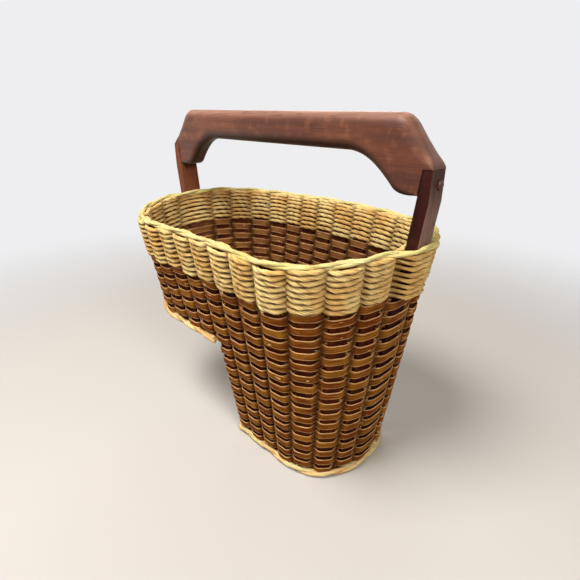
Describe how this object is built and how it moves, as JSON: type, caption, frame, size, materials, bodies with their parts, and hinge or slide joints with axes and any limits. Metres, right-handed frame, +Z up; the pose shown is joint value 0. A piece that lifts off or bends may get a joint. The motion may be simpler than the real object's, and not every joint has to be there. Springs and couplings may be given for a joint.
{
  "type": "stair basket",
  "caption": "Woven stair basket with a stepped underside that sits across a stair, a pale cord band under a rope rim and a fixed shaped wooden handle on posts.",
  "frame": {"origin": "under the middle of the rim, at the level of the leg's foot rope, which is the centre of the bounding box's base", "axes": "+Z up; +X towards the leg that stands on the lower step; Y across the basket"},
  "size_m": [0.5314, 0.3286, 0.519],
  "materials": {
    "natural_cord": "matt twisted fibre cord",
    "pale_rope": "matt fibre rope",
    "brown_reed": "dyed flat reed, satin",
    "dark_slat": "dark stained slats",
    "hardwood": "oiled reddish hardwood",
    "post_wood": "oiled hardwood, darker",
    "bronze": "dulled dark bronze"
  },
  "bodies": {
    "root": {"cord_band": "natural_cord", "rim_rope": "pale_rope", "leg_foot_rope": "pale_rope", "upper_foot_rope": "pale_rope", "upper_wall": "brown_reed", "leg_wall": "brown_reed", "riser_panel": "brown_reed", "upper_floor": "brown_reed", "leg_floor": "brown_reed", "leg_slat_near_1": "dark_slat", "leg_slat_near_2": "dark_slat", "leg_slat_near_3": "dark_slat", "leg_slat_near_4": "dark_slat", "leg_slat_near_5": "dark_slat", "leg_slat_near_6": "dark_slat", "upper_slat_near_1": "dark_slat", "upper_slat_near_2": "dark_slat", "upper_slat_near_3": "dark_slat", "upper_slat_near_4": "dark_slat", "upper_slat_near_5": "dark_slat", "upper_slat_near_6": "dark_slat", "upper_slat_near_7": "dark_slat", "corner_slat_near": "dark_slat", "leg_slat_far_1": "dark_slat", "leg_slat_far_2": "dark_slat", "leg_slat_far_3": "dark_slat", "leg_slat_far_4": "dark_slat", "leg_slat_far_5": "dark_slat", "leg_slat_far_6": "dark_slat", "upper_slat_far_1": "dark_slat", "upper_slat_far_2": "dark_slat", "upper_slat_far_3": "dark_slat", "upper_slat_far_4": "dark_slat", "upper_slat_far_5": "dark_slat", "upper_slat_far_6": "dark_slat", "upper_slat_far_7": "dark_slat", "corner_slat_far": "dark_slat", "riser_slat_1": "dark_slat", "riser_slat_2": "dark_slat", "riser_slat_3": "dark_slat", "riser_slat_4": "dark_slat", "riser_slat_5": "dark_slat", "upper_floor_rib_1": "dark_slat", "upper_floor_rib_2": "dark_slat", "upper_floor_rib_3": "dark_slat", "upper_floor_rib_4": "dark_slat", "upper_floor_rib_5": "dark_slat", "leg_floor_rib_1": "dark_slat", "leg_floor_rib_2": "dark_slat", "leg_floor_rib_3": "dark_slat", "leg_floor_rib_4": "dark_slat", "leg_floor_rib_5": "dark_slat", "grip": "hardwood", "leg_post": "post_wood", "upper_post": "post_wood", "leg_handle_pin": "bronze", "upper_handle_pin": "bronze"}
  },
  "joints": []
}
